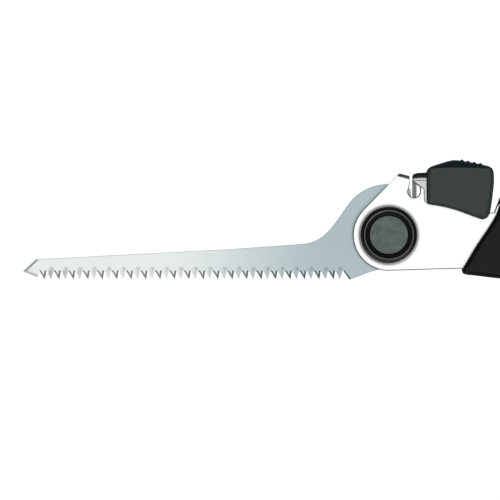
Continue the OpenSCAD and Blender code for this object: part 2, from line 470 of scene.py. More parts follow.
    @staticmethod
    def drill(piece: Piece, at: Point, radius: float, low: float = -12.0,
              high: float = 12.0) -> None:
        """Drills a round hole along the saw's thickness.

        Args:
            piece: The piece to drill.
            at: The hole's place.
            radius: Its radius.
            low: Where it starts, from the middle plane.
            high: Where it ends.
        """
        bpy.ops.object.select_all(action="DESELECT")
        bpy.ops.mesh.primitive_cylinder_add(
            vertices=48,
            radius=radius * MM,
            depth=(high - low) * MM,
            location=Vector((at[0], at[1], Bench.mid + (low + high) / 2)) * MM,
        )
        Bench.combine(piece, Combining.CUT, Bench.new_piece("drill"))

    @staticmethod
    def oblong(at: Point, half_length: float, half_width: float) -> list[Point]:
        """The outline of a milled slot, anticlockwise."""
        corners = ((-1, -1), (1, -1), (1, 1), (-1, 1))
        return [(at[0] + i * half_length, at[1] + j * half_width) for i, j in corners]

    @staticmethod
    def soften(piece: Piece, width: float) -> None:
        """Breaks a piece's sharp edges to a width.

        Args:
            piece: The piece.
            width: How wide each broken edge is.
        """
        Bench.modify(
            piece, "BEVEL", width=width * MM, segments=2, limit_method="ANGLE",
            angle_limit=math.radians(40), use_clamp_overlap=True, harden_normals=False,
        )

    @staticmethod
    def join(name: str, *pieces: Piece) -> Piece:
        """Joins pieces into one object, in which they stay as they are.

        Args:
            name: The name of the whole.
            *pieces: The pieces.

        Returns:
            The first of them, which now holds them all.
        """
        Bench.take(pieces[0])
        for piece in pieces:
            piece.select_set(True)
        bpy.ops.object.join()
        pieces[0].name = pieces[0].data.name = name
        return pieces[0]

    @staticmethod
    def other_side(piece: Piece, name: str) -> Piece:
        """A copy of a piece, mirrored in the saw's middle plane.

        Args:
            piece: The piece.
            name: The copy's name.

        Returns:
            The copy, facing outwards.
        """
        twin = piece.copy()
        twin.data = piece.data.copy()
        twin.name = twin.data.name = name
        bpy.context.scene.collection.objects.link(twin)
        twin.data.transform(
            Matrix.Translation((0, 0, 2 * Bench.mid * MM)) @ Matrix.Scale(-1, 4, (0, 0, 1))
        )
        twin.data.flip_normals()
        return twin


# ---------------------------------------------------------------- materials


class Number:
    """A number in a material, on which sums are written as on any number."""

    def __init__(self, graph: Graph, socket: bpy.types.NodeSocket) -> None:
        """Keeps the graph and the socket that gives the number."""
        self.graph = graph
        self.socket = socket

    def __add__(self, other: Number | float) -> Number:
        """The sum."""
        return self.graph.maths("ADD", self, other)

    def __radd__(self, other: float) -> Number:
        """The sum, with the number on the right."""
        return self.graph.maths("ADD", other, self)

    def __sub__(self, other: Number | float) -> Number:
        """The difference."""
        return self.graph.maths("SUBTRACT", self, other)

    def __rsub__(self, other: float) -> Number:
        """The difference, with the number on the right."""
        return self.graph.maths("SUBTRACT", other, self)

    def __mul__(self, other: Number | float) -> Number:
        """The product."""
        return self.graph.maths("MULTIPLY", self, other)

    def __rmul__(self, other: float) -> Number:
        """The product, with the number on the right."""
        return self.graph.maths("MULTIPLY", other, self)


class Graph:
    """Nodes under construction, for a material or for the room's light."""

    def __init__(self, tree: bpy.types.NodeTree) -> None:
        """Starts with no nodes."""
        self.tree = tree
        self.tree.nodes.clear()

    def node(self, kind: str, settings: dict[str, Any] | None = None,
             inputs: dict[str | int, Any] | None = None) -> bpy.types.Node:
        """A node of a type, with its settings made first and its sockets filled after.

        Args:
            kind: The node's type.
            settings: Its settings, by name.
            inputs: Values or links, by the socket's name or number.

        Returns:
            The node.
        """
        made = self.tree.nodes.new(kind)
        for key, value in (settings or {}).items():
            setattr(made, key, value)
        for key, value in (inputs or {}).items():
            self.feed(made.inputs[key], value)
        return made

    def feed(self, socket: bpy.types.NodeSocket, value: Any) -> None:
        """Links a socket, or sets it to a plain value.

        Args:
            socket: The socket to fill.
            value: A number of this graph, another node's output, or a plain value.
        """
        if isinstance(value, Number):
            self.tree.links.new(value.socket, socket)
        elif isinstance(value, bpy.types.NodeSocket):
            self.tree.links.new(value, socket)
        elif isinstance(value, tuple) and socket.type == "RGBA":
            socket.default_value = (*value, 1.0)
        else:
            socket.default_value = value

    def maths(self, operation: str, *values: Number | float) -> Number:
        """A Math node's result.

        Args:
            operation: What it does.
            *values: What it does it to.

        Returns:
            The result.
        """
        made = self.node("ShaderNodeMath", {"operation": operation}, dict(enumerate(values)))
        return Number(self, made.outputs[0])

    def within(self, value: Number, start: float, end: float) -> Number:
        """How far a number has come from start to end, kept between 0 and 1 and eased.

        Args:
            value: The number.
            start: Where the result is 0.
            end: Where the result is 1.

        Returns:
            The result.
        """
        made = self.node(
            "ShaderNodeMapRange",
            {"interpolation_type": "SMOOTHSTEP", "clamp": True},
            {0: value, 1: start, 2: end, 3: 0.0, 4: 1.0},
        )
        return Number(self, made.outputs[0])

    def span(self, value: Number, ends: Point) -> Number:
        """How far a length has come between two ends that are given in millimetres."""
        return self.within(value, ends[0] * MM, ends[1] * MM)


class Surface(Graph):
    """A material under construction: its nodes, and its principled shader."""

    def __init__(self, name: str) -> None:
        """Starts a material with a bare shader.

        Args:
            name: The material's name.
        """
        self.material = bpy.data.materials.new(name)
        self.material.use_nodes = True
        super().__init__(self.material.node_tree)
        output = self.node("ShaderNodeOutputMaterial")
        self.shader = self.node("ShaderNodeBsdfPrincipled")
        self.tree.links.new(self.shader.outputs[0], output.inputs["Surface"])
        self.place = self.node("ShaderNodeTexCoord").outputs["Object"]

    def axes(self) -> tuple[Number, Number, Number]:
        """The place on the piece, in metres, as three numbers."""
        split = self.node("ShaderNodeSeparateXYZ", inputs={0: self.place})
        return tuple(Number(self, split.outputs[i]) for i in range(3))

    def tilt(self) -> Number:
        """How level the surface lies: 1 on the flat faces, 0 on the upright walls."""
        made = self.node("ShaderNodeAttribute", {"attribute_name": LEVEL})
        return Number(self, made.outputs["Fac"])

    def rim_shade_mask(self) -> Number:
        """1 on the broken edges between level faces and upright walls, 0 elsewhere; the mask for
        painted edge shade.
        """
        tilt = self.tilt()
        return self.within(tilt, 0.995, 0.93) * self.within(tilt, 0.02, 0.15)

    def noise(self, stretch: Place, detail: float = 2.0, roughness: float = 0.5) -> Number:
        """Noise over the piece, from 0 to 1.

        Args:
            stretch: How many patches there are to a metre along each axis.
            detail: How many finer layers it has.
            roughness: How strong those are.

        Returns:
            The noise.
        """
        mapped = self.node("ShaderNodeMapping", inputs={"Vector": self.place, "Scale": stretch})
        made = self.node(
            "ShaderNodeTexNoise",
            inputs={"Vector": mapped.outputs[0], "Scale": 1.0, "Detail": detail,
                    "Roughness": roughness},
        )
        return Number(self, made.outputs["Fac"])

    def blend(self, factor: Number | float, first: Any, second: Any) -> bpy.types.NodeSocket:
        """A colour between two.

        Args:
            factor: 0 for the first, 1 for the second.
            first: A colour, or a socket that gives one.
            second: Another.

        Returns:
            The socket that gives the blend.
        """
        made = self.node("ShaderNodeMix", {"data_type": "RGBA"}, {0: factor, 6: first, 7: second})
        return made.outputs[2]

    def bump(self, height: Number, strength: float, depth: float) -> bpy.types.NodeSocket:
        """Fine relief from a height.

        Args:
            height: The height, from 0 to 1.
            strength: How strongly it shows.
            depth: The depth of the relief, in millimetres.

        Returns:
            The normal.
        """
        sockets = {"Strength": strength, "Distance": depth * MM, "Height": height}
        return self.node("ShaderNodeBump", inputs=sockets).outputs[0]

    def finish(self, **sockets: Any) -> bpy.types.Material:
        """Fills the shader's sockets, named with _ for a space, and returns the material.

        Args:
            **sockets: Their values or links.

        Returns:
            The material.
        """
        for name, value in sockets.items():
            self.feed(self.shader.inputs[name.replace("_", " ")], value)
        return self.material


@dataclass(frozen=True)
class BladeSteel:
    """Ground steel, brushed along the blade, with painted light that pales it from heel to tip and
    painted shade at the bent teeth.
    """

    name: str = "ground_blade_steel"
    heel: Colour = (0.37, 0.45, 0.47)
    tip: Colour = (0.70, 0.74, 0.73)
    painted_gleam_over: Point = (-25.0, -120.0)
    tooth_pair: float = 7.288
    set_bend_shade: Point = (-24.3, -16.9)
    set_bend_shade_over: Point = (0.2, 1.5)
    teeth_start: Point = (-20.5, -22.5)
    teeth_end: Point = (-175.6, -174.8)
    lean_over: Point = (-17.0, -18.6)
    lean_shade_over: Point = (-140.0, -172.0)

    def material(self) -> bpy.types.Material:
        """Builds the material.

        Returns:
            The material.
        """
        graph = Surface(self.name)
        x, y, _ = graph.axes()
        long_grain = graph.noise((14, 900, 900), 3.0, 0.6)
        fine_grain = graph.noise((70, 4200, 4200), 2.0)
        cloud = graph.noise((28, 60, 60), 2.0)
        # Painted light: the colour pales from heel to tip, standing in for the brighter reflection
        # towards the tip
        painted_gleam = graph.blend(graph.span(x, self.painted_gleam_over), self.heel, self.tip)
        shade = 0.86 + 0.16 * long_grain + 0.08 * fine_grain + 0.10 * cloud
        # Painted shade: a dark spot above each tooth that is bent away, where the set bend turns
        # from the light
        turn = math.tau / (self.tooth_pair * MM)
        wave = graph.maths("COSINE", (x - self.set_bend_shade[0] * MM) * turn)
        toothed = graph.span(x, self.teeth_start) * graph.span(x, self.teeth_end)
        beside = graph.maths("ABSOLUTE", y - self.set_bend_shade[1] * MM)
        set_bend_spot = toothed * graph.within(wave, 0.35, 1.0)
        set_bend_shade = set_bend_spot * (1.0 - graph.span(beside, self.set_bend_shade_over))
        # Painted shade: below the spot the bent tooth leans away from the light, most of all near
        # the tip
        leaning = toothed * graph.within(wave, -0.2, 0.6) * graph.span(y, self.lean_over)
        tone_and_painted_shade = shade - 0.2 * set_bend_shade - leaning * (0.15 + 0.3 * graph.span(x, self.lean_shade_over))
        facets = toothed * graph.within(graph.tilt(), 0.96, 0.85)
        grey = graph.node("ShaderNodeCombineColor", inputs=dict.fromkeys(range(3), tone_and_painted_shade))
        colour = graph.node("ShaderNodeMix", {"data_type": "RGBA", "blend_type": "MULTIPLY"},
                            {0: 1.0, 6: painted_gleam, 7: grey.outputs[0]}).outputs[2]
        return graph.finish(
            Base_Color=colour,
            Metallic=1.0,
            Roughness=0.34 + 0.12 * long_grain + 0.1 * set_bend_shade + 0.3 * facets,
            Normal=graph.bump(0.6 * long_grain + 0.4 * fine_grain, 0.12, 0.02),
        )


@dataclass(frozen=True)
class PlainSteel:
    """Steel with a grain: rolled, turned or polished."""

    name: str
    colour: Colour
    roughness: float
    grain: Place
    contrast: float
    relief: float

    def material(self) -> bpy.types.Material:
        """Builds the material.

        Returns:
            The material.
        """
        graph = Surface(self.name)
        grain = graph.noise(self.grain, 3.0, 0.6)
        fine = graph.noise(tuple(4 * g for g in self.grain), 2.0)
        dark = tuple(c * (1 - self.contrast) for c in self.colour)
        light = tuple(min(c * (1 + self.contrast), 1.0) for c in self.colour)
        return graph.finish(
            Base_Color=graph.blend(grain, dark, light),
            Metallic=1.0,
            Roughness=self.roughness * (0.75 + 0.5 * fine),
            Normal=graph.bump(0.5 * grain + 0.5 * fine, self.relief, 0.02),
        )


@dataclass(frozen=True)
class BrightChrome:
    """Chromium plate over pressed steel: a mirror with a faint orange-peel and hairline wipes."""

    name: str = "bright_chrome"
    colour: Colour = (0.85, 0.86, 0.865)
    shade: Colour = (0.75, 0.80, 0.825)
    painted_rim_shade: Colour = (0.08, 0.085, 0.08)
    mirrored: Colour = (0.05, 0.05, 0.05)
    bends_from: float = 24.0
    mirrored_over: Point = (14.1, 16.2)

    def material(self) -> bpy.types.Material:
        """Builds the material.

        Returns:
            The material.
        """
        graph = Surface(self.name)
        cloud = graph.noise((22, 9, 30), 1.0)
        wipes = graph.noise((120, 2600, 2600), 2.0)
        peel = graph.noise((160, 160, 160), 1.0)
        x, y, _ = graph.axes()
        # The plate mirrors the black knob close to its foot
        from_bolt = graph.maths("SQRT", x * x + y * y)
        mirrored = 1.0 - graph.span(from_bolt, self.mirrored_over)
        # Painted reflection: soft bluish clouds over the mirror stand in for the room that it
        # reflects
        plain = graph.blend(graph.within(cloud, 0.5, 0.85), self.colour, self.shade)
        # Painted shade: the broken edges below the top bends are darkened, as if they mirrored the
        # dark room
        rim_shade_mask = graph.rim_shade_mask() * graph.span(y, (self.bends_from + 1.0, self.bends_from))
        return graph.finish(
            Base_Color=graph.blend(mirrored, graph.blend(rim_shade_mask, plain, self.painted_rim_shade), self.mirrored),
            Metallic=1.0,
            Roughness=0.22 + 0.06 * wipes,
            Normal=graph.bump(peel + 0.25 * wipes, 0.05, 0.02),
        )


@dataclass(frozen=True)
class LeverSteel:
    """Polished lever steel, with painted shade between its flanges, along its edges and along its
    bend.
    """

    name: str = "lever_steel"
    colour: Colour = (0.5, 0.53, 0.52)
    pale: Colour = (0.56, 0.58, 0.55)
    painted_rim_shade: Colour = (0.24, 0.26, 0.25)
    dark: Colour = (0.05, 0.055, 0.05)
    recess_shade_below: float = 15.5
    crease_y: float = 27.45
    crease_over: Point = (0.1, 0.35)

    def material(self) -> bpy.types.Material:
        """Builds the material.

        Returns:
            The material.
        """
        graph = Surface(self.name)
        _, y, z = graph.axes()
        grain = graph.noise((200, 200, 900), 3.0, 0.6)
        # Painted shade: a dark line along the lever's bend
        beside = graph.maths("ABSOLUTE", y - self.crease_y * MM)
        crease_shade = 0.75 * (1.0 - graph.span(beside, self.crease_over))
        # Painted shade: the steel below the flanges' top, deep in the channel, is darkened
        recess_shade = 0.8 * graph.span(z, (self.recess_shade_below, self.recess_shade_below - 0.5))
        # Painted shade: the lever's broken edges are darkened
        rim_shaded = graph.blend(graph.rim_shade_mask(), graph.blend(grain, self.colour, self.pale), self.painted_rim_shade)
        return graph.finish(
            Base_Color=graph.blend(graph.maths("MAXIMUM", crease_shade, recess_shade), rim_shaded, self.dark),
            Metallic=1.0,
            Roughness=0.2 + 0.08 * grain,
            Normal=graph.bump(grain, 0.08, 0.02),
        )


@dataclass(frozen=True)
class Moulded:
    """Moulded rubber or plastic with a fine pebbled skin."""

    name: str
    colour: Colour
    roughness: float
    pebble: float
    relief: float
    specular: float = 0.5

    def material(self) -> bpy.types.Material:
        """Builds the material.

        Returns:
            The material.
        """
        graph = Surface(self.name)
        pebbles = graph.noise((self.pebble,) * 3, 2.0)
        cloud = graph.noise((60, 60, 60), 3.0)
        worn = tuple(c * 1.35 for c in self.colour)
        return graph.finish(
            Base_Color=graph.blend(graph.within(cloud, 0.35, 0.8), self.colour, worn),
            Roughness=self.roughness * (0.85 + 0.3 * cloud),
            Specular_IOR_Level=self.specular,
            Normal=graph.bump(pebbles, self.relief, 0.05),
        )


Finish = BladeSteel | PlainSteel | BrightChrome | LeverSteel | Moulded


class Shop:
    """Dresses pieces and hands them to the frame, and remembers each finish's material."""

    made: dict[str, bpy.types.Material] = {}

    @classmethod
    def dress(cls, piece: Piece, finish: Finish) -> None:
        """Gives a piece one material all over.

        Args:
            piece: The piece.
            finish: Its finish.
        """
        if finish.name not in cls.made:
            cls.made[finish.name] = finish.material()
        piece.data.materials.clear()
        piece.data.materials.append(cls.made[finish.name])

    @classmethod
    def hand_over(cls, piece: Piece, body: Body, finish: Finish, slot: str, node: str,
                  angle: float = 35.0) -> None:
        """Shades, dresses and mounts a finished piece.

        Args:
            piece: The piece.
            body: The body that it rides on.
            finish: Its finish.
            slot: The record's material slot; not used.
            node: The CAD node that it stands for.
            angle: Edges that turn by less than this, in degrees, are shaded smooth.
        """
        Bench.take(piece)
        bpy.ops.object.shade_smooth_by_angle(angle=math.radians(angle))
        Bench.modify(piece, "WEIGHTED_NORMAL", keep_sharp=True, weight=100)
        level = piece.data.attributes.new(LEVEL, "FLOAT", "CORNER")
        level.data.foreach_set("value", [abs(n.vector.z) for n in piece.data.corner_normals])
        cls.dress(piece, finish)
        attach(piece, body.value)
        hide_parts(node)
        log.info("%s: %d faces, on %s", piece.name, len(piece.data.polygons), body.value)

    @classmethod
    def hand_over_pair(cls, upper: Piece, lower_name: str, finish: Finish, slot: str,
                       node: str, angle: float = 35.0) -> None:
        """Hands over a piece of the handle, and its mirrored twin on the lower side.

        Args:
            upper: The upper piece.
            lower_name: The name of its twin.
            finish: Their finish.
            slot: The record's material slot.
            node: The CAD nodes' name, without upper_ or lower_.
            angle: Edges that turn by less than this, in degrees, are shaded smooth.
        """
        lower = Bench.other_side(upper, lower_name)
        cls.hand_over(upper, Body.HANDLE, finish, slot, f"upper_{node}", angle)
        cls.hand_over(lower, Body.HANDLE, finish, slot, f"lower_{node}", angle)


BLADE_STEEL = BladeSteel()
CHROME = BrightChrome()
LEVER_STEEL = LeverSteel()
EYELET_STEEL = PlainSteel("eyelet_steel", (0.5, 0.53, 0.52), 0.22, (200, 200, 900), 0.08, 0.08)
BOLT_STEEL = PlainSteel("blasted_bolt_steel", (0.11, 0.135, 0.125), 0.5, (260,) * 3, 0.5, 0.5)
SCREW_STEEL = PlainSteel("screw_steel", (0.5, 0.5, 0.5), 0.3, (400,) * 3, 0.15, 0.2)
SPRING_WIRE = PlainSteel("spring_wire", (0.4, 0.42, 0.45), 0.3, (900,) * 3, 0.15, 0.1)
KNOB_BLACK = Moulded("knob_black", (0.003, 0.003, 0.003), 0.2, 900.0, 0.03, specular=1.0)
WASHER = Moulded("washer_plastic", (0.75, 0.73, 0.66), 0.45, 900.0, 0.1)
COVER_RUBBER = Moulded("cover_rubber", (0.003, 0.013, 0.015), 0.34, 1800.0, 0.1)
GRIP_PLASTIC = Moulded("grip_plastic", (0.003, 0.005, 0.006), 0.4, 1300.0, 0.25, specular=0.16)
PAD_RUBBER = Moulded("pad_rubber", (0.010, 0.012, 0.014), 0.6, 700.0, 0.6, specular=0.3)


# ---------------------------------------------------------------- the pieces


@dataclass
class Blade:
    """The toothed blade, with its round tang and the notch that the pawl drops into."""

    thickness: float = 1.25
    bore_r: float = 4.05
    tooth_pitch: float = 3.644
    tooth_count: int = 42
    tooth_from_x: float = -20.36
    tooth_line: float = -22.5
    odd_lean: float = 0.46
    root_line: float = -17.9
    rake: float = 2.85
    tooth_set: float = 0.28
    heel: Point = (-19.8, -22.45)
    tip: Point = (-184.5, -18.4)
    rim_r: float = 25.65
    rear_rim_r: float = 22.45
    rim_from: float = 128.0
    tip_grind: float = 1.2
    tip_land: float = 0.15
    break_edge: float = 0.15
    spine: Outline = ((-175.8, -12.18), (-80.0, -7.2))
    throat: tuple[Point, Point] = ((-42.6, -4.5), (-28.6, -3.2))
    notch_from_x: float = 11.0
    notch: Outline = ((11.7, 16.0), (12.2, 15.4), (14.6, 15.4))
    foot: tuple[Point, Point, Point] = ((2.0, -16.9), (-9.0, -17.0), (-12.0, -20.3))
    shoulder: Point = (-178.0, -12.3)
    shoulder_inner: Point = (-176.35, -12.33)
    chin: Point = (-177.1, -21.35)
    chin_inner: Point = (-176.82, -20.17)
    heel_back: float = 3.16
    facet_root: tuple[float, float] = (0.1, 1.93)
    facet_tip: Point = (0.5, 2.3)
    loops: list[list[Place]] = field(default_factory=lambda: [[], [], [], []])
    facets: list[tuple[int, int, int]] = field(default_factory=list)

    def add(self, near: Place, high: Place, low: Place, far: Place) -> None:
        """Adds one station round the blade: a point on each of its four loops."""
        for loop, place in zip(self.loops, (near, high, low, far)):
            loop.append((place[0], place[1], Bench.mid + place[2]))

    def edge(self, at: Point, inner: Point, land: float) -> None:
        """Adds a station on a broken edge.

        Args:
            at: The edge's own place.
            inner: Where its two bevels end on the blade's faces.
            land: Half the thickness that is left between the bevels.
        """
        half = self.thickness / 2
        self.add((*inner, half), (*at, land), (*at, -land), (*inner, -half))

    def ground(self, near: Point, far: Point, near_set: float = 0.0, far_set: float = 0.0) -> None:
        """Adds a station of a face that is ground through the whole thickness.

        Args:
            near: Its place on the upper face.
            far: Its place on the lower face.
            near_set: How far the upper place is bent up.
            far_set: How far the lower one is.
        """
        half = self.thickness / 2
        first = Vector((*near, half + near_set))
        last = Vector((*far, far_set - half))
        self.add(first, first.lerp(last, 0.3), first.lerp(last, 0.7), last)

    def plain_outline(self) -> list[Point]:
        """The outline from the spine over the tang to the heel, clockwise.

        Returns:
            Its points.
        """
        rim_start = arc(self.rim_r, self.rim_from, self.rim_from, 1)[0]
        turn, ease = math.radians(self.rim_from), 10
        pull = (rim_start[0] - ease * math.sin(turn), rim_start[1] + ease * math.cos(turn))
        front = math.degrees(math.acos(self.notch_from_x / self.rim_r))
        rear = math.degrees(math.acos(self.notch[-1][0] / self.rear_rim_r))
        rear_end = math.degrees(math.asin(self.foot[0][1] / self.rear_rim_r))
        return [
            *self.spine,
            *bezier(*self.throat, pull, rim_start, 20)[:-1],
            *arc(self.rim_r, self.rim_from, front, 32),
            *self.notch,
            *arc(self.rear_rim_r, rear, rear_end, 48),
            *bezier(*self.foot, self.heel, 16)[:-1],
        ]

    def tooth(self, number: int) -> None:
        """Adds the stations of one tooth; even ones are ground and set up, odd ones down.

        Args:
            number: The tooth's number, counted from the heel.
        """
        x = self.tooth_from_x - number * self.tooth_pitch
        right = (x - self.rake + self.tooth_pitch, self.root_line)
        left = (x - self.rake, self.root_line)
        point = (x - self.odd_lean * (number % 2), self.tooth_line)
        inner_right, inner_left = ((x - back, self.root_line) for back in self.facet_root)
        apex = (point[0] - self.facet_tip[0], self.tooth_line + self.facet_tip[1])
        first = len(self.loops[0])
        if number % 2 == 0:
            self.ground(inner_right, right)
            self.ground(apex, point, 0.5 * self.tooth_set, self.tooth_set)
            self.ground(inner_left, left)
        else:
            self.ground(right, inner_right)
            self.ground(point, apex, -self.tooth_set, -0.5 * self.tooth_set)
            self.ground(left, inner_left)
        self.ground(left, left)
        self.facets.append((first, first + 1, first + 2))

    def stations(self) -> None:
        """Lays out the four loops: upper face, two on the edge, lower face."""
        outline = self.plain_outline()
        count = len(outline)
        for i, here in enumerate(outline):
            before = outline[i - 1] if i else self.shoulder
            after = outline[i + 1] if i + 1 < count else self.heel
            nx, ny = outward(before, here, after)
            inner = (here[0] + nx * self.break_edge, here[1] + ny * self.break_edge)
            self.edge(here, inner, self.thickness / 2 - self.break_edge)
        heel_root = (self.heel[0] - self.heel_back, self.root_line)
        self.ground((self.heel[0] + 0.9, self.heel[1] + 0.45), self.heel)
        self.ground((heel_root[0] + 0.75, self.root_line), heel_root)
        self.ground(heel_root, heel_root)
        for number in range(1, self.tooth_count + 1):
            self.tooth(number)
        self.edge(self.chin, self.chin_inner, self.tip_land)
        nx, ny = outward(self.chin, self.tip, self.shoulder)
        inner = (self.tip[0] + nx * self.tip_grind, self.tip[1] + ny * self.tip_grind)
        self.edge(self.tip, inner, self.tip_land)
        self.edge(self.shoulder, self.shoulder_inner, self.tip_land)

    def fill_facets(self, piece: Piece) -> None:
        """Puts a face over each ground facet, on the upper and the lower side.

        Args:
            piece: The blade, still an open sheet.
        """
        last_loop = 3 * (len(self.loops[0]) + 1)
        Bench.take(piece)
        bpy.ops.object.mode_set(mode="EDIT")
        for side in (0, last_loop):
            for facet in self.facets:
                bpy.ops.mesh.select_all(action="DESELECT")
                bpy.ops.object.mode_set(mode="OBJECT")
                for i in facet:
                    piece.data.vertices[side + i].select = True
                bpy.ops.object.mode_set(mode="EDIT")
                bpy.ops.mesh.edge_face_add()
        bpy.ops.object.mode_set(mode="OBJECT")

    def build(self) -> None:
        """Builds the blade and hands it over."""
        self.stations()
        piece = Bench.sheet("toothed_blade", [[*loop, loop[0]] for loop in self.loops])
        self.fill_facets(piece)
        Bench.edit(piece, Bench.merge, Bench.cap)
        Bench.drill(piece, (0, 0), self.bore_r)
        Shop.hand_over(piece, Body.BLADE, BLADE_STEEL, "blade_steel", "blade", 20)


@dataclass
class Frame:
    """The bent steel channel that holds the blade, open in front and closed in the handle."""

    cheek_in: float = 2.3
    cheek_out: float = 3.9
    sheet: float = 1.6
    nose_r: float = 18.0
    front_bend: float = 2.6
    rear_bend: float = 1.8
    front_top: Outline = ((5.4, 31.1), (10.4, 29.8))
    channel_top: Outline = ((56.3, 19.4), (57.6, 21.2), (60.0, 22.3), (66.0, 21.5), (90.0, 16.0),
                            (120.0, 8.5), (150.0, 3.0), (188.0, -3.5))
    channel_bottom: Outline = ((36.8, -16.9), (112.0, -19.5), (150.0, -19.0), (176.0, -27.0),
                               (188.0, -30.0))
    window: Outline = ((53.2, 11.3), (49.5, 11.3), (48.5, 14.0), (44.0, 24.0), (36.0, 27.0),
                       (15.9, 26.5))
    slot_lip: tuple[Point, Point] = ((10.2, 24.0), (10.8, 26.6))
    slot_end: Point = (12.8, 21.9)
    slot_r: float = 3.1
    screws: Outline = ((75.0, 12.0), (125.0, 1.5), (170.0, -8.0))
    barrel_r: float = 2.95
    bolt_hole_r: float = 4.05
    lever_pin_hole: tuple[Point, float] = ((30.0, 18.5), 1.77)
    arbor_hole: tuple[Point, float] = ((38.5, 20.5), 1.22)
    edge_r: float = 0.5

    def build(self) -> None:
        """Bends, cuts and drills the channel."""
        outline = [
            *arc(self.nose_r, 137, 270, 48),
            *self.channel_bottom,
            *self.channel_top[::-1],
            *self.window,
            *arc(self.slot_r, 0, -180, 20, self.slot_end),
            *self.slot_lip,
            *self.front_top[::-1],
        ]
        piece = Bench.plate("bent_channel", outline, -self.cheek_out, self.cheek_out)
        Bench.round_corners(piece, self.front_top, self.cheek_out, self.front_bend, 8)
        Bench.round_corners(piece, self.channel_top, self.cheek_out, self.rear_bend, 6)
        Bench.break_rim(piece, self.edge_r)
        (front_x, front_y), (back_x, back_y) = self.front_top
        start, end, far, gap = -30.0, 200.0, 45.0, 0.02
        inside = [
            (start, -far),
            (end, -far),
            (end, self.channel_top[-1][1] - self.sheet - 2.0),
            *[(x, y - self.sheet) for x, y in self.channel_top[::-1]],
            (self.channel_top[0][0] - gap, far),
            (back_x + gap, far),
            (back_x + gap, back_y - self.sheet),
            (front_x - gap, front_y - self.sheet),
            (front_x - gap, far),
            (start, far),
        ]
        hollow = Bench.plate("inside", inside, -self.cheek_in, self.cheek_in)
        Bench.combine(piece, Combining.CUT, hollow)
        Bench.drill(piece, (0, 0), self.bolt_hole_r)
        Bench.drill(piece, *self.lever_pin_hole)
        Bench.drill(piece, *self.arbor_hole)
        for at in self.screws:
            Bench.drill(piece, at, self.barrel_r)
        Shop.hand_over(piece, Body.HANDLE, CHROME, "bright_chrome", "frame", 32)


@dataclass
class Pivot:
    """The bolt that the blade turns on, with a domed knob on each side."""

    sleeve_r: float = 4.0
    screw_r: float = 2.5
    head_r: float = 9.65
    head_floor: float = 6.2
    head_top: float = 8.2
    knob_r: float = 14.7
    crest_r: float = 12.2
    cheek_out: float = 3.9
    top: float = 11.0

    def knob(self) -> Piece:
        """Turns the upper knob.

        Returns:
            The knob.
        """
        crest = (self.crest_r + 0.35, self.top - 0.04)
        dome = bezier((self.knob_r, 6.0), (self.knob_r, 8.6), (13.7, 10.4), crest, 14)
        profile = [
            (self.sleeve_r + 0.05, self.cheek_out),
            (self.knob_r - 0.4, self.cheek_out),
            (self.knob_r - 0.1, self.cheek_out + 0.12),
            (self.knob_r, self.cheek_out + 0.5),
            *dome,
            (self.crest_r + 0.25, self.top),
            (self.crest_r - 0.2, self.top - 0.02),
            (self.crest_r - 0.4, self.top - 0.14),
            (self.crest_r - 0.55, self.top - 0.35),
            (self.head_r + 0.12, self.head_top + 0.22),
            (self.head_r + 0.05, self.head_top + 0.1),
            (self.head_r + 0.05, self.head_floor),
            (self.sleeve_r + 0.05, self.head_floor),
        ]
        return Bench.turned("upper_knob", profile, steps=128)

    def bolt(self) -> Piece:
        """Turns the sleeve with its dished head.

        Returns:
            The bolt.
        """
        profile = [
            (self.screw_r, -5.8),
            (self.sleeve_r - 0.2, -5.8),
            (self.sleeve_r, -5.6),
            (self.sleeve_r, self.head_floor),
            (self.head_r, self.head_floor),
            (self.head_r, self.head_top - 0.15),
            (self.head_r - 0.15, self.head_top),
            (0.0, self.head_top),
            (0.0, self.head_floor),
            (self.screw_r, self.head_floor),
        ]
        return Bench.turned("sleeve_bolt", profile, steps=96)

    def screw(self) -> Piece:
        """Turns the screw and mills a slot for a coin in its head.

        Returns:
            The screw.
        """
        profile = [
            (0.0, -self.head_top),
            (self.head_r - 0.15, -self.head_top),
            (self.head_r, -self.head_top + 0.15),
            (self.head_r, -self.head_floor),
            (self.screw_r - 0.05, -self.head_floor),
            (self.screw_r - 0.05, self.head_floor - 1.3),
            (self.screw_r - 0.35, self.head_floor - 1.0),
            (0.0, self.head_floor - 1.0),
        ]
        piece = Bench.turned("coin_screw", profile, steps=96)
        slot = Bench.oblong((0.0, 0.0), 7.0, 0.9)
        cutter = Bench.plate("slot", slot, -self.head_top - 1, -self.head_top + 1)
        Bench.combine(piece, Combining.CUT, cutter)
        Bench.soften(piece, 0.1)
        return piece

    def build(self) -> None:
        """Makes both knobs, the bolt and the screw."""
        Shop.hand_over_pair(self.knob(), "lower_knob", KNOB_BLACK, "knob_black", "pivot_knob", 40)
        Shop.hand_over(self.bolt(), Body.HANDLE, BOLT_STEEL, "dark_steel", "pivot_sleeve")
        Shop.hand_over(self.screw(), Body.HANDLE, BOLT_STEEL, "dark_steel", "pivot_screw")


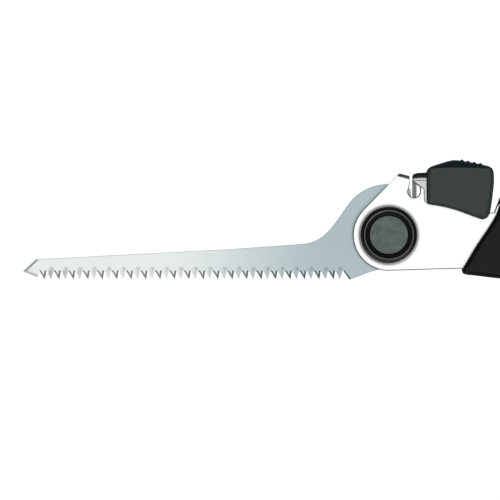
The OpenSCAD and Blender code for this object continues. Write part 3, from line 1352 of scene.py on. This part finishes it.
@dataclass
class Lever:
    """The bent steel lever with its pawl, its rubber cover and its spring, turning on a pin."""

    flange_in: float = 4.2
    flange_out: float = 5.6
    web: float = 1.4
    pin: Point = (30.0, 18.5)
    pin_r: float = 1.8
    bend: float = 4.6
    bend_end: float = 27.8
    pawl_x: float = 12.0
    pawl_t: float = 2.1
    pawl_half: float = 2.1
    pawl_tip_r: float = 22.6
    top: Outline = ((12.1, 29.6), (12.6, 30.7), (14.6, 31.3), (18.9, 31.5), (20.7, 32.4),
                    (26.0, 34.4), (32.0, 35.8), (38.0, 35.6), (46.0, 34.0), (50.0, 33.0),
                    (51.4, 31.0))
    flange: Outline = ((51.6, 26.0), (51.0, 19.0), (50.3, 14.0), (49.3, 10.5), (48.0, 9.0),
                       (46.0, 9.0), (40.1, 11.3), (34.7, 13.4), (29.4, 14.8), (20.2, 15.7),
                       (18.3, 16.4), (17.8, 17.6), (17.7, 23.0), (12.1, 27.2))
    cover_half: float = 7.9
    crown_from: float = 33.7
    cover_points: Outline = ((19.1, 30.6), (19.8, 33.0), (21.4, 34.5), (26.1, 36.1), (30.2, 37.3),
                             (33.2, 37.8), (37.3, 37.4), (42.5, 36.5), (47.4, 35.5), (50.8, 34.6),
                             (52.3, 33.0), (52.9, 30.0), (52.8, 24.7), (51.8, 16.5), (50.9, 11.2),
                             (49.4, 8.7), (47.0, 7.9), (44.0, 8.8), (40.1, 10.2), (35.0, 12.1),
                             (29.4, 13.7), (24.5, 14.7), (21.0, 15.2), (19.6, 15.7), (19.1, 17.0),
                             (19.0, 20.5), (18.95, 26.0))
    rib_x: float = 37.0
    rib_pitch: float = 3.1
    rib_count: int = 4
    rib_r: float = 1.0
    rib_top: float = 37.1
    rib_slope: float = 0.19
    rim_r: float = 0.4
    pin_room: tuple[float, float] = (3.0, 6.2)
    cover_edge: float = 0.9
    side_groove: Outline = ((1.1, 0.0), (1.4, 0.3), (1.9, 0.3), (2.3, 0.0))
    cover_mouth: Outline = ((51.7, 31.0), (51.7, 16.0), (60.0, 16.0), (60.0, 0.0), (8.0, 0.0),
                            (8.0, 29.6))
    play: float = 0.05
    coil_turns: float = 4.5
    coil_pitch: float = 0.95
    coil_ends: tuple[Point, Point] = ((46.4, 31.6), (29.6, 20.8))
    coil_at: Point = (38.5, 20.5)
    coil_r: float = 2.2
    wire_r: float = 0.45

    def steel(self) -> Piece:
        """Bends the steel lever and adds the pawl.

        Returns:
            The lever.
        """
        flat, steps = self.flange_out - self.bend, 8
        turns = [math.pi / 2 * i / steps for i in range(steps + 1)]
        upper = [(flat + self.bend * math.sin(t), 1 - math.cos(t)) for t in turns]
        rings = []
        for z, drop in [(-z, drop) for z, drop in upper[::-1]] + upper:
            web = [(x, y - drop * min(self.bend, y - self.bend_end)) for x, y in self.top]
            rings.append([(x, y, Bench.mid + z) for x, y in [*web, *self.flange][::-1]])
        piece = Bench.loft("steel_lever", rings)
        Bench.break_rim(piece, self.rim_r)
        for wall, half in ((2 * self.web, self.flange_in), (self.web, self.flange_in - 1.2)):
            inside = [
                (0.0, 0.0), (70.0, 0.0), (70.0, 25.0), *[(x, y - wall) for x, y in self.top[::-1]],
                (self.top[0][0], 20.0), (0.0, 20.0),
            ]
            Bench.combine(piece, Combining.CUT, Bench.plate("inside", inside, -half, half))
        rear = self.pawl_x + self.pawl_t
        foot = [(x, math.sqrt(self.pawl_tip_r**2 - x**2)) for x in (self.pawl_x, rear)]
        outline = [*foot, (rear, 30.4), (self.pawl_x, 30.0)]
        pawl = Bench.plate("pawl", outline, -self.pawl_half, self.pawl_half)
        Bench.combine(piece, Combining.WELD, pawl)
        Bench.drill(piece, self.pin, self.pin_r)
        return piece

    def crowned(self, point: Point, z: float) -> Place:
        """A place on the cover, whose top is rounded across.

        Args:
            point: The place on its outline.
            z: Its height from the middle plane.

        Returns:
            The place, with the top lowered towards the sides.
        """
        x, y = point
        across = math.sqrt(max(0.0, 1 - (z / (self.cover_half + 0.15)) ** 2))
        if y > self.crown_from:
            y = self.crown_from + (y - self.crown_from) * (0.45 * across + 0.55 * across**2)
        return (x, y, Bench.mid + z)

    def rubber(self) -> Piece:
        """Moulds the cover with its ribs.

        Returns:
            The cover.
        """
        outline = smooth_loop(self.cover_points, 4)[::-1]
        edge, steps = self.cover_edge, 10
        rings = []
        for t in range(-steps, steps + 1):
            z = self.cover_half * math.sin(math.pi / 2 * t / steps)
            over = max(0.0, abs(z) - (self.cover_half - edge)) / edge
            distance = edge * (1 - math.sqrt(max(0.0, 1 - over**2)))
            rings.append([self.crowned(p, z) for p in inset(outline, distance)])
        for distance, depth in self.side_groove:
            z = self.cover_half - depth
            groove = inset(outline, distance)
            rings.insert(0, [self.crowned(p, -z) for p in groove])
            rings.append([self.crowned(p, z) for p in groove])
        piece = Bench.loft("ribbed_cover", rings)
        room = self.flange_out + self.play
        inside = [*[(x, y + self.play) for x, y in self.top], *self.cover_mouth]
        Bench.combine(piece, Combining.CUT, Bench.plate("inside", inside[::-1], -room, room))
        around, beyond = self.pin_room
        Bench.drill(piece, self.pin, around, -beyond, beyond)
        for i in range(self.rib_count):
            Bench.combine(piece, Combining.WELD, self.rib(self.rib_x + i * self.rib_pitch))
        return piece

    def rib(self, x: float) -> Piece:
        """Makes one rib across the cover, rounded off at its ends.

        Args:
            x: Where it runs.

        Returns:
            The rib, to be welded to the cover.
        """
        steps, sides, thinnest = 10, 16, 0.04
        y = self.rib_top - self.rib_slope * (x - self.rib_x)
        rows = []
        for t in range(-steps, steps + 1):
            z = (self.cover_half - 0.8) * t / steps
            thin = self.rib_r * math.sqrt(max(thinnest, 1 - (t / steps) ** 6))
            rows.append([
                self.crowned((x + thin * math.cos(a), y + thin * math.sin(a)), z)
                for a in (math.tau * s / sides for s in range(sides))
            ])
        return Bench.loft("rib", rows)

    def spring(self) -> Piece:
        """Winds the torsion spring from one wire.

        Returns:
            The spring.
        """
        (cx, cy), turns, pitch = self.coil_at, self.coil_turns, self.coil_pitch
        start = -turns * pitch / 2
        first, last = self.coil_ends
        places = [(*first, start)]
        count = int(turns * 24)
        for i in range(count + 1):
            angle = math.tau * turns * i / count
            x, y = cx + self.coil_r * math.cos(angle), cy - self.coil_r * math.sin(angle)
            places.append((x, y, start + pitch * turns * i / count))
        places.append((*last, -start))
        data = bpy.data.curves.new("torsion_spring", "CURVE")
        data.dimensions = "3D"
        data.bevel_depth = self.wire_r * MM
        data.bevel_resolution = 3
        data.use_fill_caps = True
        line = data.splines.new("POLY")
        line.points.add(len(places) - 1)
        for point, (x, y, z) in zip(line.points, places):
            point.co = (x * MM, y * MM, (Bench.mid + z) * MM, 1)
        piece = bpy.data.objects.new("torsion_spring", data)
        bpy.context.scene.collection.objects.link(piece)
        Bench.take(piece)
        bpy.ops.object.convert(target="MESH")
        return bpy.context.object

    def build(self) -> None:
        """Makes the lever's pieces."""
        Shop.hand_over(self.steel(), Body.LEVER, LEVER_STEEL, "lever_steel", "lock_lever", 32)
        Shop.hand_over(self.rubber(), Body.LEVER, COVER_RUBBER, "cover_rubber", "lever_cover", 45)
        Shop.hand_over(self.spring(), Body.HANDLE, SPRING_WIRE, "spring_steel", "lever_spring")


@dataclass
class Handle:
    """The two shells, their soft pads, the screws that clamp them and the lanyard eyelet."""

    half: float = 10.2
    seam: float = 0.03
    trough: float = 3.95
    edge_r: float = 3.0
    pad_floor: float = 9.4
    pad_top: float = 11.0
    counterbore_r: float = 4.4
    head_seat: float = 7.0
    head_r: float = 4.2
    head_t: float = 1.8
    barrel_r: float = 2.9
    pad_hole_r: float = 5.4
    eyelet_at: Point = (194.5, -19.0)
    eyelet_r: float = 3.0
    frame: Frame = field(default_factory=Frame)
    outline_points: Outline = ((37.3, -16.8), (37.5, -18.8), (38.9, -19.9), (43.5, -20.5),
                               (56.3, -22.0), (85.0, -25.0), (110.0, -23.0), (130.0, -21.3),
                               (150.0, -22.8), (167.0, -28.0), (185.0, -36.5), (196.0, -42.6),
                               (203.5, -37.5), (208.0, -25.0), (206.5, -11.0), (195.0, -1.2),
                               (175.0, 3.0), (150.0, 7.0), (120.0, 12.5), (90.0, 20.0),
                               (66.0, 26.0), (60.0, 25.6), (57.4, 20.5), (53.6, 9.4), (44.2, -5.1),
                               (39.0, -13.8))
    pad_points: Outline = ((66.5, -13.0), (70.5, -18.4), (85.0, -20.4), (110.0, -18.5),
                           (130.0, -16.8), (149.0, -18.4), (165.3, -23.6), (177.5, -29.0),
                           (182.2, -25.5), (182.6, -16.0), (182.2, -6.0), (177.5, -2.2),
                           (149.3, 2.6), (119.0, 8.1), (89.0, 15.6), (71.5, 19.8), (66.5, 16.0))
    play: float = 0.05
    flare: Outline = ((2.9, 0.0), (3.0, 0.15), (2.8, 0.35), (2.2, 0.5), (0.9, 0.5), (0.3, 0.3),
                      (0.0, -0.3))

    def shell(self) -> Piece:
        """Moulds the upper shell.

        Returns:
            The shell.
        """
        outline = smooth_loop(self.outline_points, 6)
        piece = Bench.slab("upper_shell", outline, self.seam, self.half, 0.25, self.edge_r, 6)
        end = 188.05
        channel = [
            (20.0, 11.3),
            (20.0, -60.0),
            (end, -60.0),
            (end, -3.5),
            *[(x, y + self.play) for x, y in self.frame.channel_top[::-1]],
            self.frame.window[0],
        ]
        trough = Bench.plate("trough", channel, -1.0, self.trough)
        pad = inset(smooth_loop(self.pad_points, 6), -2 * self.play)
        recess = Bench.plate("recess", pad, self.pad_floor, 13.0)
        Bench.combine(piece, Combining.CUT, trough, recess)
        for at in self.frame.screws:
            Bench.drill(piece, at, self.barrel_r + self.play, -1.0, 11.0)
            Bench.drill(piece, at, self.counterbore_r, self.head_seat, 12.0)
        Bench.drill(piece, self.eyelet_at, self.eyelet_r + 1.25, -1.0, 12.0)
        return piece

    def pad(self) -> Piece:
        """Moulds the upper pad, with a hole over each screw.

        Returns:
            The pad.
        """
        outline = smooth_loop(self.pad_points, 6)
        piece = Bench.slab("upper_pad", outline, self.pad_floor, self.pad_top, 0.0, 1.1, 5)
        for at in self.frame.screws:
            Bench.drill(piece, at, self.pad_hole_r)
        return piece

    def head(self, seat: float, top: float) -> list[Point]:
        """The profile of a screw's head, from its seat to the middle of its top."""
        r = self.head_r
        return [(r, seat), (r, top - 0.7), (r - 0.2, top - 0.3), (r - 0.8, top), (0.0, top)]

    def screw(self, at: Point) -> Piece:
        """Turns one grip screw with a hexagon socket.

        Args:
            at: Where it stands.

        Returns:
            The screw.
        """
        top = self.head_seat + self.head_t
        profile = [
            (0.0, -4.0),
            (1.3, -4.0),
            (1.5, -3.8),
            (1.5, self.head_seat),
            *self.head(self.head_seat, top),
        ]
        piece = Bench.turned("screw", profile, at, 48)
        socket = Bench.plate("socket", arc(1.7, 0, 300, 5, at), top - 1.2, top + 1)
        Bench.combine(piece, Combining.CUT, socket)
        return piece

    def barrel(self, at: Point) -> Piece:
        """Turns one barrel nut, whose head has a slot, on the lower side.

        Args:
            at: Where it stands.

        Returns:
            The nut.
        """
        low = -self.head_seat - self.head_t
        profile = [
            *[(r, -z) for r, z in self.head(self.head_seat, -low)[::-1]],
            (self.barrel_r, -self.head_seat),
            (self.barrel_r, 6.8),
            (1.55, 6.8),
            (1.55, -6.4),
            (0.0, -6.4),
        ]
        piece = Bench.turned("nut", profile, at, 48)
        slot = Bench.plate("slot", Bench.oblong(at, 3, 0.5), low - 1, low + 0.8)
        Bench.combine(piece, Combining.CUT, slot)
        return piece

    def eyelet(self) -> Piece:
        """Rolls the metal tube for the lanyard, flared at both ends.

        Returns:
            The eyelet.
        """
        r, tube, half = self.eyelet_r, self.eyelet_r + 1.2, self.half
        profile = [
            (tube, -half),
            (tube, half),
            *[(r + out, half + up) for out, up in self.flare],
            *[(r + out, -half - up) for out, up in self.flare[::-1]],
        ]
        return Bench.turned("eyelet", profile, self.eyelet_at, 64)

    def build(self) -> None:
        """Makes the handle's pieces."""
        Shop.hand_over_pair(self.shell(), "lower_shell", GRIP_PLASTIC, "grip_plastic", "grip_shell")
        Shop.hand_over_pair(self.pad(), "lower_pad", PAD_RUBBER, "pad_rubber", "grip_pad")
        screws = Bench.join("grip_screw_set", *[self.screw(at) for at in self.frame.screws])
        Shop.hand_over(screws, Body.HANDLE, SCREW_STEEL, "fastener_steel", "grip_screws")
        nuts = Bench.join("barrel_nut_set", *[self.barrel(at) for at in self.frame.screws])
        Shop.hand_over(nuts, Body.HANDLE, SCREW_STEEL, "fastener_steel", "grip_barrel_nuts")
        eyelet = self.eyelet()
        Shop.hand_over(eyelet, Body.HANDLE, EYELET_STEEL, "fastener_steel", "lanyard_eyelet")


# ---------------------------------------------------------------- the studio


@dataclass
class Studio:
    """A pale floor, a dim room with a bright ceiling, and the camera."""

    view_x: float = -69.9
    view_y: float = -7.57
    distance: float = 3000.0
    view_width: float = 252.3
    sensor: float = 36.0
    ceiling: float = 1.18
    room: float = 0.06
    front: float = 0.26
    lamp_at: Place = (0.35, -0.5, 1.3)
    lamp_side: float = 0.5
    lamp_watts: float = 1.5

    def floor(self) -> None:
        """Lays the floor."""
        bpy.ops.object.select_all(action="DESELECT")
        bpy.ops.mesh.primitive_plane_add(size=12.0, location=(0, 0, -0.0002))
        floor = bpy.context.object
        floor.name = "floor"
        graph = Surface("floor_paint")
        tone = graph.noise((3, 3, 3), 1.0)
        floor.data.materials.append(graph.finish(
            Base_Color=graph.blend(tone, (0.04, 0.04, 0.04), (0.06, 0.06, 0.06)),
            Roughness=0.9,
            Emission_Color=(1.0, 1.0, 1.0),
            Emission_Strength=1.0,
        ))
        floor.visible_glossy = False

    def room_light(self) -> None:
        """Lights the room: bright above, dim at the walls, a little brighter in front."""
        world = bpy.data.worlds.new("room")
        bpy.context.scene.world = world
        world.use_nodes = True
        tree = world.node_tree
        graph = Graph(tree)
        place = graph.node("ShaderNodeTexCoord").outputs["Generated"]
        split = graph.node("ShaderNodeSeparateXYZ", inputs={0: place})
        up = Number(graph, split.outputs[2])
        side = Number(graph, split.outputs[1])
        light = (
            self.room
            + (self.ceiling - self.room) * graph.within(up, 0.62, 0.9)
            + self.front * graph.within(0.0 - side, 0.2, 0.8)
        )
        glow = {"Color": (1.0, 1.0, 1.0), "Strength": light}
        background = graph.node("ShaderNodeBackground", inputs=glow)
        output = graph.node("ShaderNodeOutputWorld")
        tree.links.new(background.outputs[0], output.inputs[0])

    def lamp(self) -> None:
        """Hangs a square soft light that faces the saw."""
        bpy.ops.object.select_all(action="DESELECT")
        bpy.ops.object.light_add(type="AREA", location=self.lamp_at)
        lamp = bpy.context.object
        lamp.name = "soft_top_light"
        lamp.data.size = self.lamp_side
        lamp.data.energy = self.lamp_watts
        lamp.rotation_euler = (-Vector(self.lamp_at)).to_track_quat("-Z", "Y").to_euler()

    def camera(self) -> None:
        """Stands the camera straight above the saw."""
        place = Vector((self.view_x, self.view_y, Bench.mid + self.distance)) * MM
        bpy.ops.object.camera_add(location=place, rotation=(0, 0, 0))
        camera = bpy.context.object
        camera.data.sensor_width = self.sensor
        camera.data.lens = self.sensor * self.distance / self.view_width
        camera.data.clip_start = 0.01
        bpy.context.scene.camera = camera
        bpy.context.scene.view_settings.view_transform = "Standard"

    def build(self) -> None:
        """Sets the camera, the floor and the lights."""
        self.camera()
        self.floor()
        self.room_light()
        self.lamp()


def dress_kept(frame: dict[str, Any]) -> None:
    """Gives the CAD nodes that stay visible their finishes.

    Args:
        frame: The loaded frame.
    """
    kept = {
        "upper_pivot_washer": WASHER,
        "lower_pivot_washer": WASHER,
        "lever_pin": SCREW_STEEL,
        "spring_arbor": SCREW_STEEL,
        "tip_rest": PAD_RUBBER,
        "tail_spacer": SCREW_STEEL,
    }
    for name, finish in kept.items():
        Shop.dress(frame["nodes"][name], finish)
        log.info("%s: kept, %s", name, finish.name)


def main() -> None:
    """Builds the saw round its frame."""
    logging.basicConfig(level=logging.INFO, format="%(name)s: %(message)s")
    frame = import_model()
    Studio().build()
    Blade().build()
    Frame().build()
    Pivot().build()
    Lever().build()
    Handle().build()
    dress_kept(frame)


if __name__ == "__main__":
    main()
